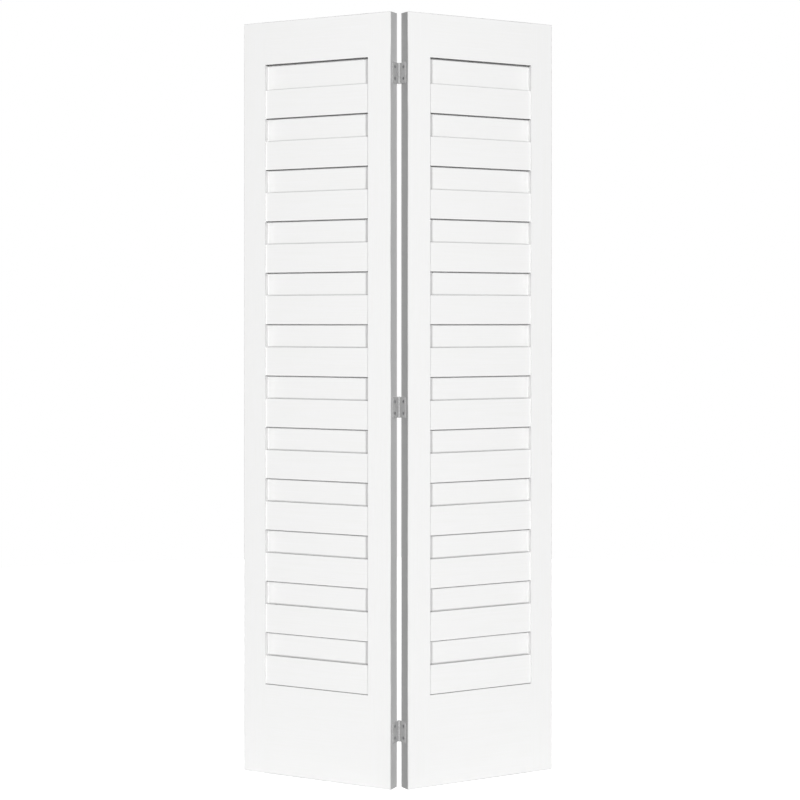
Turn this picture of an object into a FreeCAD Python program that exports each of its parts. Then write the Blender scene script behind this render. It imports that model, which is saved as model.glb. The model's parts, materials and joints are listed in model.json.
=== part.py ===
import FreeCAD, Part
import math
import os
import Sketcher

# A pair of bifold closet door leaves, folded a little way open and standing on their bottom edges.
# The fold points at -Y (the room). The hinge pins stand behind the back faces, on the closet side.
# Every leaf piece is drawn in its leaf's own frame: x along the width, y from the back face (0)
# towards the front face, z up from the bottom edge.

doc = FreeCAD.newDocument("bifold_closet_door")
sheet = doc.addObject("Spreadsheet::Sheet", "sheet")

DRIVING_SIZES = [
    ("leaf_height", "2007", "79 in, for an 80 in opening"),
    ("leaf_width", "449", "two leaves fill a 36 in opening"),
    ("leaf_thickness", "35", "1 3/8 in"),
    ("leaf_angle", "29", "how far each leaf is turned from flat, degrees"),
    ("stile_width", "67.5", "visible width of the upright members"),
    ("top_rail_height", "114.5", "4 1/2 in"),
    ("bottom_rail_height", "238", "9 3/8 in"),
    ("arris", "1", "bevel that eases the long outer edges"),
    ("slat_count", "12", "slats in one leaf"),
    ("band_height", "77", "thick lower face of a slat"),
    ("slat_lap", "6.4", "lip that hangs over the slat below"),
    ("slat_setback", "3", "slat face behind the stile face"),
    ("recess_depth", "10", "thin part of a slat behind its band"),
    ("groove_depth", "10", "groove in a stile's inner edge"),
    ("tongue_length", "9.5", "slat tongue that enters the groove"),
    ("tongue_play", "0.1", "clearance on each face of a tongue or tenon"),
    ("tenon_length", "30", "rail tenon that enters a mortise"),
    ("mortise_air", "1", "glue room beyond a tenon's end"),
    ("tenon_shoulder", "20", "rail edge to the nearest tenon"),
    ("tenon_split", "38", "between the bottom rail's twin tenons"),
    ("pivot_bore_diameter", "9.5", "3/8 in bore for a pivot or guide pin"),
    ("pivot_bore_depth", "45", "1 3/4 in"),
    ("pivot_inset", "25.4", "bore axis to the leaf's outer edge, 1 in"),
    ("hinge_height", "54", "2 1/8 in"),
    ("hinge_top_drop", "156", "hinge centre below the leaf's top"),
    ("hinge_middle_level", "985", "hinge centre above the leaf's bottom"),
    ("hinge_bottom_level", "145", "hinge centre above the leaf's bottom"),
    ("pin_gap", "3", "pin axis to a leaf's hinge edge, along the width"),
    ("pin_setback", "5.2", "pin axis behind the back face"),
    ("pin_radius", "1.75", "hinge pin"),
    ("pin_play", "0.05", "radial clearance in the turning knuckle"),
    ("plate_thickness", "2", "hinge plate"),
    ("plate_reach", "26", "plate on the leaf's edge, from the back face"),
    ("knuckle_gap", "0.3", "between neighbouring knuckles"),
    ("pin_proud", "0.6", "pin beyond each end of the barrel"),
    ("screw_edge", "12", "screws to the plate's ends"),
    ("screw_setback", "15", "screw line from the back face"),
    ("screw_length", "19", "3/4 in"),
    ("screw_radius", "2.05", "shank of a No. 8 screw"),
    ("screw_head_radius", "4.1", "countersunk head of a No. 8 screw"),
    ("screw_play", "0.15", "radial clearance of the plate holes"),
    ("screw_inset", "0.1", "screw head below the plate's face"),
]

DERIVED_SIZES = [
    ("opening_width", "=leaf_width - 2 * stile_width", "between the stiles"),
    ("opening_top", "=leaf_height - top_rail_height", "level of the top rail's lower edge"),
    ("slat_pitch", "=(opening_top - bottom_rail_height - slat_lap) / slat_count", "slat to slat"),
    ("slat_height", "=slat_pitch + slat_lap", "whole slat"),
    ("slat_front", "=leaf_thickness - slat_setback", "depth of the slat's band face"),
    ("floor_front", "=slat_front - recess_depth", "depth of the recess floor, seen from the front"),
    ("floor_back", "=slat_setback + recess_depth", "depth of the recess floor, seen from the back"),
    ("half_thickness", "=leaf_thickness / 2", "middle of the leaf's thickness"),
    ("twin_tenon", "=(bottom_rail_height - 2 * tenon_shoulder - tenon_split) / 2", "one of the twins"),
    ("knuckle_radius", "=pin_radius + plate_thickness", "outside of the rolled barrel"),
    ("knuckle_height", "=hinge_height / 3", "one of three knuckles"),
    ("plate_inner", "=pin_gap - plate_thickness", "plate face that meets the other plate"),
    ("plate_end", "=pin_setback + plate_reach", "pin axis to the plate's free edge"),
    ("screw_line", "=pin_setback + screw_setback", "pin axis to the screw line"),
]


def fill_sheet():
    sheet.set("A1", "name")
    sheet.set("B1", "value")
    sheet.set("C1", "what it is")
    for row, (alias, value, note) in enumerate(DRIVING_SIZES + DERIVED_SIZES, start=2):
        sheet.set(f"A{row}", alias)
        sheet.set(f"B{row}", value)
        sheet.set(f"C{row}", note)
        sheet.setAlias(f"B{row}", alias)
    doc.recompute()


def size(alias):
    return float(sheet.get(alias))


# ---- small helpers for sketches and features -------------------------------------------------

def new_body(label):
    body = doc.addObject("PartDesign::Body", label)
    body.Label = label
    return body


def origin_feature(body, role):
    return next(f for f in body.Origin.OriginFeatures if f.Role == role)


def new_sketch(body, name, plane, offset="0"):
    """A sketch on one of the body's origin planes, shifted along the plane's normal."""
    sketch = body.newObject("Sketcher::SketchObject", name)
    sketch.AttachmentSupport = (origin_feature(body, plane), [""])
    sketch.MapMode = "FlatFace"
    if offset != "0":
        sketch.setExpression("AttachmentOffset.Base.z", offset)
    return sketch


def pin_point(sketch, geometry, end, x, y):
    """Hold one point of the sketch at (x, y), two expressions over the sheet."""
    for kind, expression in (("DistanceX", x), ("DistanceY", y)):
        value = float(sketch.evalExpression(expression))
        index = sketch.addConstraint(Sketcher.Constraint(kind, -1, 1, geometry, end, value))
        sketch.setExpression(f"Constraints[{index}]", expression)


def hold_radius(sketch, geometry, expression):
    value = float(sketch.evalExpression(expression))
    index = sketch.addConstraint(Sketcher.Constraint("Radius", geometry, value))
    sketch.setExpression(f"Constraints[{index}]", expression)


def draw_outline(sketch, corners):
    """A closed outline of straight lines through corners given as pairs of expressions."""
    points = [FreeCAD.Vector(float(sketch.evalExpression(x)), float(sketch.evalExpression(y)), 0)
              for x, y in corners]
    count = len(points)
    first = sketch.GeometryCount
    for i in range(count):
        sketch.addGeometry(Part.LineSegment(points[i], points[(i + 1) % count]))
    for i in range(count):
        following = first + (i + 1) % count
        sketch.addConstraint(Sketcher.Constraint("Coincident", first + i, 2, following, 1))
    for i, (x, y) in enumerate(corners):
        pin_point(sketch, first + i, 1, x, y)


def draw_rectangle(sketch, low_x, low_y, high_x, high_y):
    draw_outline(sketch, [(low_x, low_y), (high_x, low_y), (high_x, high_y), (low_x, high_y)])


def draw_circle(sketch, x, y, radius):
    centre = FreeCAD.Vector(float(sketch.evalExpression(x)), float(sketch.evalExpression(y)), 0)
    start_radius = float(sketch.evalExpression(radius))
    index = sketch.addGeometry(Part.Circle(centre, FreeCAD.Vector(0, 0, 1), start_radius))
    pin_point(sketch, index, 3, x, y)
    hold_radius(sketch, index, radius)


def pad(body, sketch, length):
    feature = body.newObject("PartDesign::Pad", sketch.Name + "_pad")
    feature.Profile = sketch
    feature.setExpression("Length", length)
    doc.recompute()
    return feature


def pocket(body, sketch, depth, towards_plus):
    """Cut from the sketch plane: along the plane's normal, or against it."""
    before = body.Shape.Volume
    feature = body.newObject("PartDesign::Pocket", sketch.Name + "_pocket")
    feature.Profile = sketch
    feature.Reversed = towards_plus
    feature.setExpression("Length", depth)
    doc.recompute()
    if body.Shape.Volume > before - 1:
        raise RuntimeError(f"{feature.Name} of {body.Label} cut nothing")
    return feature


def edges_where(feature, test):
    """Names of the straight edges whose middle point and direction pass the test."""
    names = []
    for number, edge in enumerate(feature.Shape.Edges, start=1):
        if edge.Curve.TypeId != "Part::GeomLine":
            continue
        middle = edge.CenterOfMass
        along = edge.tangentAt(edge.FirstParameter)
        if test(middle, along):
            names.append(f"Edge{number}")
    return names


def near(a, b):
    return abs(a - b) < 1e-4


def ease_edges(body, feature, names, width):
    bevel = body.newObject("PartDesign::Chamfer", feature.Name + "_arris")
    bevel.Base = (feature, names)
    bevel.setExpression("Size", width)
    doc.recompute()


# ---- where things stand ---------------------------------------------------------------------

def pin_axis_place():
    """The pins' place that puts the folded pair's middle over the origin, front to back."""
    angle = math.radians(size("leaf_angle"))
    depth_to_front = size("pin_setback") + size("leaf_thickness")
    front = size("pin_gap") * math.sin(angle) - depth_to_front * math.cos(angle)
    reach = size("pin_gap") + size("leaf_width")
    back = reach * math.sin(angle) - size("pin_setback") * math.cos(angle)
    return FreeCAD.Vector(0, -(front + back) / 2, 0)


def turn_about_z(degrees):
    return FreeCAD.Rotation(FreeCAD.Vector(0, 0, 1), degrees)


def pin_frame(side):
    """Frame on the pin axis: x along the leaf's width, y towards the leaf's front face."""
    degrees = 180 - size("leaf_angle") if side == "left" else 180 + size("leaf_angle")
    return FreeCAD.Placement(pin_axis_place(), turn_about_z(degrees))


def leaf_frame(side):
    """Frame of a leaf: x runs from its hinge edge on the left leaf, to it on the right one."""
    low_edge = size("pin_gap") if side == "left" else -size("pin_gap") - size("leaf_width")
    corner = FreeCAD.Vector(low_edge, size("pin_setback"), 0)
    return pin_frame(side).multiply(FreeCAD.Placement(corner, FreeCAD.Rotation()))


def place_in_leaf(body, side, x=0.0, z=0.0):
    shift = FreeCAD.Placement(FreeCAD.Vector(x, 0, z), FreeCAD.Rotation())
    body.Placement = leaf_frame(side).multiply(shift)


HINGE_CENTRES = {
    "top": "(sheet.leaf_height - sheet.hinge_top_drop)",
    "middle": "sheet.hinge_middle_level",
    "bottom": "sheet.hinge_bottom_level",
}

SCREW_OFFSETS = [
    "(sheet.hinge_height / 2 - sheet.screw_edge)",
    "(sheet.screw_edge - sheet.hinge_height / 2)",
]

# Lower and upper edge of each tenon, measured up from the foot of its rail.
RAIL_TENONS = {
    "top": [("sheet.tenon_shoulder", "sheet.top_rail_height - sheet.tenon_shoulder")],
    "bottom": [
        ("sheet.tenon_shoulder", "sheet.tenon_shoulder + sheet.twin_tenon"),
        ("sheet.bottom_rail_height - sheet.tenon_shoulder - sheet.twin_tenon",
         "sheet.bottom_rail_height - sheet.tenon_shoulder"),
    ],
}

RAIL_FEET = {"top": "sheet.opening_top", "bottom": "0"}


# ---- stiles -----------------------------------------------------------------------------------

def stile(side, role):
    """An upright: grooved for the slats and mortised for the rails on its inner edge, eased on
    its outer one. The outer stile has pivot bores in its ends. The hinge stile is left whole:
    the wood screws bite into it."""
    label = f"{side}_{role}_stile"
    body = new_body(label)
    inner_is_high = (side == "left") == (role == "hinge")
    inner = "sheet.stile_width" if inner_is_high else "0"
    outer = "0" if inner_is_high else "sheet.stile_width"

    board = new_sketch(body, f"{label}_board", "XY_Plane")
    draw_rectangle(board, "0", "0", "sheet.stile_width", "sheet.leaf_thickness")
    last = pad(body, board, "sheet.leaf_height")

    outer_x = float(sheet.evalExpression(outer))
    long_edges = edges_where(
        last, lambda middle, along: near(abs(along.z), 1) and near(middle.x, outer_x))
    ease_edges(body, last, long_edges, "sheet.arris")

    groove = new_sketch(body, f"{label}_groove", "YZ_Plane", inner)
    draw_rectangle(groove, "sheet.floor_back", "sheet.bottom_rail_height",
                   "sheet.floor_front", "sheet.opening_top")
    pocket(body, groove, "sheet.groove_depth", not inner_is_high)

    mortises = new_sketch(body, f"{label}_mortises", "YZ_Plane", inner)
    for rail_role, tenons in RAIL_TENONS.items():
        foot = RAIL_FEET[rail_role]
        for low, high in tenons:
            draw_rectangle(mortises, "sheet.floor_back", f"{foot} + {low}",
                           "sheet.floor_front", f"{foot} + {high}")
    pocket(body, mortises, "sheet.tenon_length + sheet.mortise_air", not inner_is_high)

    if role == "outer":
        bore_x = "sheet.pivot_inset" if outer == "0" else "sheet.stile_width - sheet.pivot_inset"
        ends = [("top", "sheet.leaf_height", False)]
        if side == "left":
            ends.append(("bottom", "0", True))
        for end, level, upwards in ends:
            bore = new_sketch(body, f"{label}_{end}_bore", "XY_Plane", level)
            draw_circle(bore, bore_x, "sheet.half_thickness", "sheet.pivot_bore_diameter / 2")
            pocket(body, bore, "sheet.pivot_bore_depth", upwards)

    starts_low = (side == "left") == (role == "hinge")
    place_in_leaf(body, side, 0.0 if starts_low else size("leaf_width") - size("stile_width"))
    return body


# ---- rails --------------------------------------------------------------------------------------

def rail(side, role):
    """A cross member, tenoned into both stiles: one tenon an end on the top rail, twins on the
    tall bottom rail. The bottom rail carries a lip behind its front face, which the lowest
    slat laps over."""
    label = f"{side}_{role}_rail"
    body = new_body(label)
    height = f"sheet.{role}_rail_height"
    section = new_sketch(body, f"{label}_section", "YZ_Plane")
    if role == "top":
        draw_rectangle(section, "0", "0", "sheet.leaf_thickness", height)
    else:
        lip_top = f"{height} + sheet.slat_lap"
        draw_outline(section, [
            ("0", "0"),
            ("sheet.leaf_thickness", "0"),
            ("sheet.leaf_thickness", height),
            ("sheet.floor_front", height),
            ("sheet.floor_front", lip_top),
            ("0", lip_top),
        ])
    pad(body, section, "sheet.opening_width")

    tenons = new_sketch(body, f"{label}_tenons", "YZ_Plane", "-sheet.tenon_length")
    for low, high in RAIL_TENONS[role]:
        draw_rectangle(
            tenons,
            "sheet.floor_back + sheet.tongue_play", f"{low} + sheet.tongue_play",
            "sheet.floor_front - sheet.tongue_play", f"{high} - sheet.tongue_play")
    pad(body, tenons, "sheet.opening_width + 2 * sheet.tenon_length")

    foot = float(sheet.evalExpression(RAIL_FEET[role]))
    place_in_leaf(body, side, size("stile_width"), foot)
    return body


# ---- slats --------------------------------------------------------------------------------------

def slat(side, number):
    """One stepped slat. Its section is a flattened Z: the lower half stands forward as the
    band, the upper half stands back, and the band's lip hangs over the slat below. Turned
    upside down, the back shows the same steps as the front. A tongue at each end seats in
    the stile grooves."""
    label = f"{side}_slat_{number:02d}"
    body = new_body(label)
    section = new_sketch(body, f"{label}_section", "YZ_Plane")
    back_step = "sheet.slat_height - sheet.band_height"
    draw_outline(section, [
        ("sheet.floor_front", "0"),
        ("sheet.slat_front", "0"),
        ("sheet.slat_front", "sheet.band_height"),
        ("sheet.floor_front", "sheet.band_height"),
        ("sheet.floor_front", "sheet.slat_height"),
        ("sheet.slat_setback", "sheet.slat_height"),
        ("sheet.slat_setback", back_step),
        ("sheet.floor_back", back_step),
        ("sheet.floor_back", "sheet.slat_lap"),
        ("sheet.floor_front", "sheet.slat_lap"),
    ])
    pad(body, section, "sheet.opening_width")

    tongue = new_sketch(body, f"{label}_tongue", "YZ_Plane", "-sheet.tongue_length")
    draw_rectangle(
        tongue,
        "sheet.floor_back + sheet.tongue_play", "sheet.slat_lap + sheet.tongue_length",
        "sheet.floor_front - sheet.tongue_play", "sheet.slat_height - sheet.tongue_length")
    pad(body, tongue, "sheet.opening_width + 2 * sheet.tongue_length")

    top = size("opening_top") - (number - 1) * size("slat_pitch")
    place_in_leaf(body, side, size("stile_width"), top - size("slat_height"))
    return body


# ---- hinges -------------------------------------------------------------------------------------

def hinge_plate(side, place):
    """A steel plate rolled round the pin. The left plate keeps the two outer knuckles, the
    right plate keeps the middle one. The section lies in the pin's frame: the plate runs
    along +y, its wood side at x = pin_gap."""
    label = f"{place}_hinge_{side}_plate"
    body = new_body(label)
    rolled = new_sketch(body, f"{label}_section", "XY_Plane")
    radius = size("knuckle_radius")
    inner_x = size("plate_inner")
    outer_x = size("pin_gap")
    end_y = size("plate_end")
    inner_angle = math.acos(inner_x / radius)
    outer_angle = math.acos(outer_x / radius) + 2 * math.pi
    inner_root = FreeCAD.Vector(inner_x, radius * math.sin(inner_angle), 0)
    outer_root = FreeCAD.Vector(outer_x, radius * math.sin(outer_angle), 0)
    inner_end = FreeCAD.Vector(inner_x, end_y, 0)
    outer_end = FreeCAD.Vector(outer_x, end_y, 0)
    full_circle = Part.Circle(FreeCAD.Vector(0, 0, 0), FreeCAD.Vector(0, 0, 1), radius)
    rolled.addGeometry(Part.LineSegment(inner_end, inner_root))
    rolled.addGeometry(Part.ArcOfCircle(full_circle, inner_angle, outer_angle))
    rolled.addGeometry(Part.LineSegment(outer_root, outer_end))
    rolled.addGeometry(Part.LineSegment(outer_end, inner_end))
    rolled.addConstraint(Sketcher.Constraint("Coincident", 1, 3, -1, 1))
    rolled.addConstraint(Sketcher.Constraint("Coincident", 0, 2, 1, 1))
    rolled.addConstraint(Sketcher.Constraint("Coincident", 1, 2, 2, 1))
    rolled.addConstraint(Sketcher.Constraint("Coincident", 2, 2, 3, 1))
    rolled.addConstraint(Sketcher.Constraint("Coincident", 3, 2, 0, 1))
    rolled.addConstraint(Sketcher.Constraint("Vertical", 0))
    rolled.addConstraint(Sketcher.Constraint("Vertical", 2))
    hold_radius(rolled, 1, "sheet.knuckle_radius")
    pin_point(rolled, 0, 1, "sheet.plate_inner", "sheet.plate_end")
    pin_point(rolled, 2, 2, "sheet.pin_gap", "sheet.plate_end")
    eye = "sheet.pin_radius" if side == "left" else "sheet.pin_radius + sheet.pin_play"
    draw_circle(rolled, "0", "0", eye)
    pad(body, rolled, "sheet.hinge_height")

    # The notches leave room for the other plate's knuckles all the way round the pin.
    half_gap = "sheet.knuckle_gap / 2"
    if side == "left":
        middle_cut = "sheet.knuckle_height + sheet.knuckle_gap"
        notches = [("middle", f"sheet.knuckle_height - {half_gap}", middle_cut)]
    else:
        end_cut = f"sheet.knuckle_height + {half_gap}"
        notches = [("low", "0", end_cut), ("high", f"2 * sheet.knuckle_height - {half_gap}", end_cut)]
    clear = "(sheet.knuckle_radius + 2 * sheet.knuckle_gap)"
    for name, start, length in notches:
        notch = new_sketch(body, f"{label}_{name}_notch", "XY_Plane", start)
        draw_rectangle(notch, f"-{clear}", f"-{clear}", clear, clear)
        pocket(body, notch, length, True)

    holes = new_sketch(body, f"{label}_screw_holes", "YZ_Plane", "sheet.plate_inner")
    for offset in SCREW_OFFSETS:
        draw_circle(holes, "sheet.screw_line", f"sheet.hinge_height / 2 + {offset}",
                    "sheet.screw_radius + sheet.screw_play")
    doc.recompute()
    sink = body.newObject("PartDesign::Hole", f"{label}_countersinks")
    sink.Profile = holes
    doc.recompute()
    sink.Threaded = False
    sink.Reversed = True
    sink.DepthType = "ThroughAll"
    sink.HoleCutType = "Countersink"
    sink.HoleCutCustomValues = True
    sink.setExpression("Diameter", "2 * (sheet.screw_radius + sheet.screw_play)")
    sink.setExpression("HoleCutDiameter", "2 * (sheet.screw_head_radius + sheet.screw_play)")
    sink.HoleCutCountersinkAngle = 90
    doc.recompute()

    foot = float(sheet.evalExpression(HINGE_CENTRES[place])) - size("hinge_height") / 2
    if side == "left":
        stand = FreeCAD.Placement(FreeCAD.Vector(0, 0, foot), FreeCAD.Rotation())
    else:
        # The right plate is the same pressing turned end for end about its own y axis.
        top = FreeCAD.Vector(0, 0, foot + size("hinge_height"))
        stand = FreeCAD.Placement(top, FreeCAD.Rotation(FreeCAD.Vector(0, 1, 0), 180))
    body.Placement = pin_frame(side).multiply(stand)
    return body


def hinge_pin(place):
    """A headless pin, held by the outer knuckles and a little proud of them at both ends."""
    label = f"{place}_hinge_pin"
    body = new_body(label)
    section = new_sketch(body, f"{label}_section", "XY_Plane", "-sheet.pin_proud")
    draw_circle(section, "0", "0", "sheet.pin_radius")
    pad(body, section, "sheet.hinge_height + 2 * sheet.pin_proud")
    foot = float(sheet.evalExpression(HINGE_CENTRES[place])) - size("hinge_height") / 2
    body.Placement = FreeCAD.Placement(pin_axis_place() + FreeCAD.Vector(0, 0, foot), FreeCAD.Rotation())
    return body


def screw(name):
    """A countersunk wood screw on the x axis: the head's face at 0, tapering to a point."""
    body = new_body(name)
    half = new_sketch(body, f"{name}_section", "XY_Plane")
    draw_outline(half, [
        ("0", "0"),
        ("0", "sheet.screw_head_radius"),
        ("sheet.screw_head_radius - sheet.screw_radius", "sheet.screw_radius"),
        ("sheet.screw_length", "sheet.screw_radius"),
        ("sheet.screw_length", "0"),
    ])
    turned = body.newObject("PartDesign::Revolution", f"{name}_turned")
    turned.Profile = half
    turned.ReferenceAxis = (origin_feature(body, "X_Axis"), [""])
    turned.Angle = 360
    doc.recompute()
    return body


def hinge_screws(side):
    """All the screws that hold the hinges to one leaf, as one group in the pins' frame."""
    head_x = size("plate_inner") + size("screw_inset")
    if side == "left":
        into_wood = FreeCAD.Rotation()
    else:
        head_x = -head_x
        into_wood = FreeCAD.Rotation(FreeCAD.Vector(0, 1, 0), 180)
    screws = []
    for place, centre in HINGE_CENTRES.items():
        for number, offset in enumerate(SCREW_OFFSETS, start=1):
            level = float(sheet.evalExpression(f"{centre} + {offset}"))
            body = screw(f"{side}_{place}_screw_{number}")
            body.Placement = FreeCAD.Placement(
                FreeCAD.Vector(head_x, size("screw_line"), level), into_wood)
            screws.append(body)
    group = doc.addObject("Part::Compound", f"{side}_hinge_screws")
    group.Label = f"{side}_hinge_screws"
    group.Links = screws
    group.Placement = pin_frame(side)
    return group


# ---- the whole door -----------------------------------------------------------------------------

def build_pieces():
    pieces = []
    for side in ("left", "right"):
        pieces.append(stile(side, "hinge"))
        pieces.append(stile(side, "outer"))
        pieces.append(rail(side, "top"))
        pieces.append(rail(side, "bottom"))
        for number in range(1, int(size("slat_count")) + 1):
            pieces.append(slat(side, number))
        for place in HINGE_CENTRES:
            pieces.append(hinge_plate(side, place))
        pieces.append(hinge_screws(side))
    for place in HINGE_CENTRES:
        pieces.append(hinge_pin(place))
    return pieces


def check_and_write(pieces):
    doc.recompute()
    for item in doc.Objects:
        if "Invalid" in item.State or "Error" in item.State:
            raise RuntimeError(f"{item.Label} failed: {item.State}")
    for piece in pieces:
        if piece.Shape.isNull() or not piece.Shape.isValid():
            raise RuntimeError(f"{piece.Label} has no valid shape")
    os.makedirs("parts", exist_ok=True)
    for piece in pieces:
        piece.Shape.exportStep(f"parts/{piece.Label}.step")
        print(piece.Label, round(piece.Shape.Volume), len(piece.Shape.Solids))


fill_sheet()
check_and_write(build_pieces())
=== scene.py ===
# White bifold closet door: two leaves of stepped, closed louvre slats, hung together on three
# small butt hinges and standing folded a little way open.

import json
import math

import bmesh
import bpy
from mathutils import Matrix, Vector


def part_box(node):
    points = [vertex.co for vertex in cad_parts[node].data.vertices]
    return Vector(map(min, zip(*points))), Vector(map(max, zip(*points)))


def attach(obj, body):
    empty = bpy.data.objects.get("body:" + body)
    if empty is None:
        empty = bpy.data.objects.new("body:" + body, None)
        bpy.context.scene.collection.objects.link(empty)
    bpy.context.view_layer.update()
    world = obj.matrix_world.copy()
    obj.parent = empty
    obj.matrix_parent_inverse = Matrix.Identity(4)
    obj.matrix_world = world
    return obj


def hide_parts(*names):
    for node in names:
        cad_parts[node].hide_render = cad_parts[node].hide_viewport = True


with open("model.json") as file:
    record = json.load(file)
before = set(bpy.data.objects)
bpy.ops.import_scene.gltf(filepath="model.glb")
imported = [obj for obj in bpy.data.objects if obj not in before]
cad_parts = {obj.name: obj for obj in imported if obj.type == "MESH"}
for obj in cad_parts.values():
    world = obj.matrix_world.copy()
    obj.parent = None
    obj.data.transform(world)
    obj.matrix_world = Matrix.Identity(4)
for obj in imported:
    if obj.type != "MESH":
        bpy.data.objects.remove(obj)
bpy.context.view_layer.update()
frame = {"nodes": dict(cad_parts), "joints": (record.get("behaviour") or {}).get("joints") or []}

mm = 0.001
print("frame loaded:", len(frame["nodes"]), "pieces of the door")


def hexToLinear(hexColour):
    channels = [int(hexColour[i:i + 2], 16) / 255 for i in (1, 3, 5)]
    linear = [c / 12.92 if c <= 0.04045 else ((c + 0.055) / 1.055) ** 2.4 for c in channels]
    return (*linear, 1.0)


def addNode(tree, kind, settings=None, values=None, links=None):
    # Inputs go by name, or by number where a node has several of one name.
    node = tree.nodes.new(kind)
    for name, value in (settings or {}).items():
        setattr(node, name, value)
    for name, value in (values or {}).items():
        node.inputs[name].default_value = value
    for name, source in (links or {}).items():
        tree.links.new(source, node.inputs[name])
    return node


def newMaterial(name):
    material = bpy.data.materials.new(name)
    material.use_nodes = True
    material.node_tree.nodes.clear()
    return material, material.node_tree


def addToScene(name, data):
    thing = bpy.data.objects.new(name, data)
    bpy.context.scene.collection.objects.link(thing)
    return thing


# What counts as one place, as flat and as an edge. Angles in degrees.
meshing = {
    "samePlace": 0.02 * mm,
    "weldGap": 0.002 * mm,      # corners of the solids' triangles that are one point
    "flatAngle": 1,             # triangles that turn less than this are one flat face
    "boardEdge": 20,            # edges of a board that may be rounded
    "plateEdge": 40,            # edges of a plate that are eased
    "crisp": 35,                # edges that stay crisp in the shading
}


def close(a, b):
    return abs(a - b) < meshing["samePlace"]


noiseSpan = (0.3, 0.7)          # where nearly all values of a noise texture lie


# Paint on the boards

enamel = {
    "fullCoat": "#F2F2F2",      # white satin enamel, sprayed face on
    "grainCoat": "#F0F0EF",     # a shade greyer where the coat lies thin on raised grain
    "wallShadeAndEndCoat": "#DADADA",      # painted shade on the stiles' walls beside the opening; on a leaf's ends a thin coat, primer greying it
    "arrisShadeCoat": "#B4B4B4",     # painted shade: a grey line on the eased edges, which turn away from the light
    "shadeCoat": "#2C2C2C",      # painted shade: near black, for the shadow under lips, on ledges and in recess corners
    "ledgeShade": 0.48,          # share of painted shade on ledges and in the corners above them
    "ledgeReach": 4.0 * mm,     # how far above a ledge the painted shade runs out
    "cornerShade": 0.14,         # share of painted shade in the upright corners of a recess, dimming light the stile's wall throws back
    "cornerReach": 18.0 * mm,   # how far from the stile it runs out
    "floorDepth": 2.0 * mm,     # how far off a recess's floor still counts as floor
    "underSlope": (-0.1, -0.5),     # normal's z where the painted shade of an underside starts and is full
    "ledgeSlope": (0.3, 0.7),       # and the same for a ledge
    "ior": 1.5,
    "roughness": (0.36, 0.46),
    "thinRoughness": (0.78, 0.88),  # a thin coat sinks into the primer and dries dull
    "grainWidth": 2.2 * mm,     # early wood bands that telegraph through the coat
    "grainRun": 60,             # a grain streak's length over its width
    "grainSpan": (0.35, 0.7),   # from the lowest to the most raised grain
    "peelSize": 3.0 * mm,       # spray texture; real peel is 1 to 2 mm, drawn coarser to show
    "grainHeight": 0.004 * mm,
    "peelHeight": 0.005 * mm,
}


def paintedShadeMask(tree, place, ledges):
    # Painted shade: 1 under a lip, its share on ledges and in the corners of a recess, 0 elsewhere.
    normal = addNode(tree, "ShaderNodeSeparateXYZ", links={"Vector": place.outputs["Normal"]})
    starts, full = enamel["underSlope"]
    below = addNode(tree, "ShaderNodeMapRange", {"interpolation_type": "SMOOTHSTEP"},
                    {"From Min": starts, "From Max": full}, {"Value": normal.outputs["Z"]})
    starts, full = enamel["ledgeSlope"]
    above = addNode(tree, "ShaderNodeMapRange", {"interpolation_type": "SMOOTHSTEP"},
                    {"From Min": starts, "From Max": full, "To Max": enamel["ledgeShade"]},
                    {"Value": normal.outputs["Z"]})
    shaded = addNode(tree, "ShaderNodeMath", {"operation": "MAXIMUM"},
                     links={0: below.outputs["Result"], 1: above.outputs["Result"]})
    spot = addNode(tree, "ShaderNodeSeparateXYZ", links={"Vector": place.outputs["Object"]})
    for depth, level in ledges:
        onFloor = addNode(tree, "ShaderNodeMath", {"operation": "COMPARE"},
                          {1: depth, 2: enamel["floorDepth"]}, {0: spot.outputs["Y"]})
        lowWall, highWall = slat["walls"]
        strips = [("Z", level, enamel["ledgeReach"], enamel["ledgeShade"]),
                  ("X", lowWall, enamel["cornerReach"], enamel["cornerShade"]),
                  ("X", highWall, -enamel["cornerReach"], enamel["cornerShade"])]
        for axis, start, reach, share in strips:
            fade = addNode(tree, "ShaderNodeMapRange", {},
                           {"From Min": start, "From Max": start + reach,
                            "To Min": share, "To Max": 0.0}, {"Value": spot.outputs[axis]})
            strip = addNode(tree, "ShaderNodeMath", {"operation": "MULTIPLY"},
                            links={0: fade.outputs["Result"], 1: onFloor.outputs["Value"]})
            shaded = addNode(tree, "ShaderNodeMath", {"operation": "MAXIMUM"},
                             links={0: shaded.outputs["Value"], 1: strip.outputs["Value"]})
    return shaded.outputs["Value"]


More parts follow.
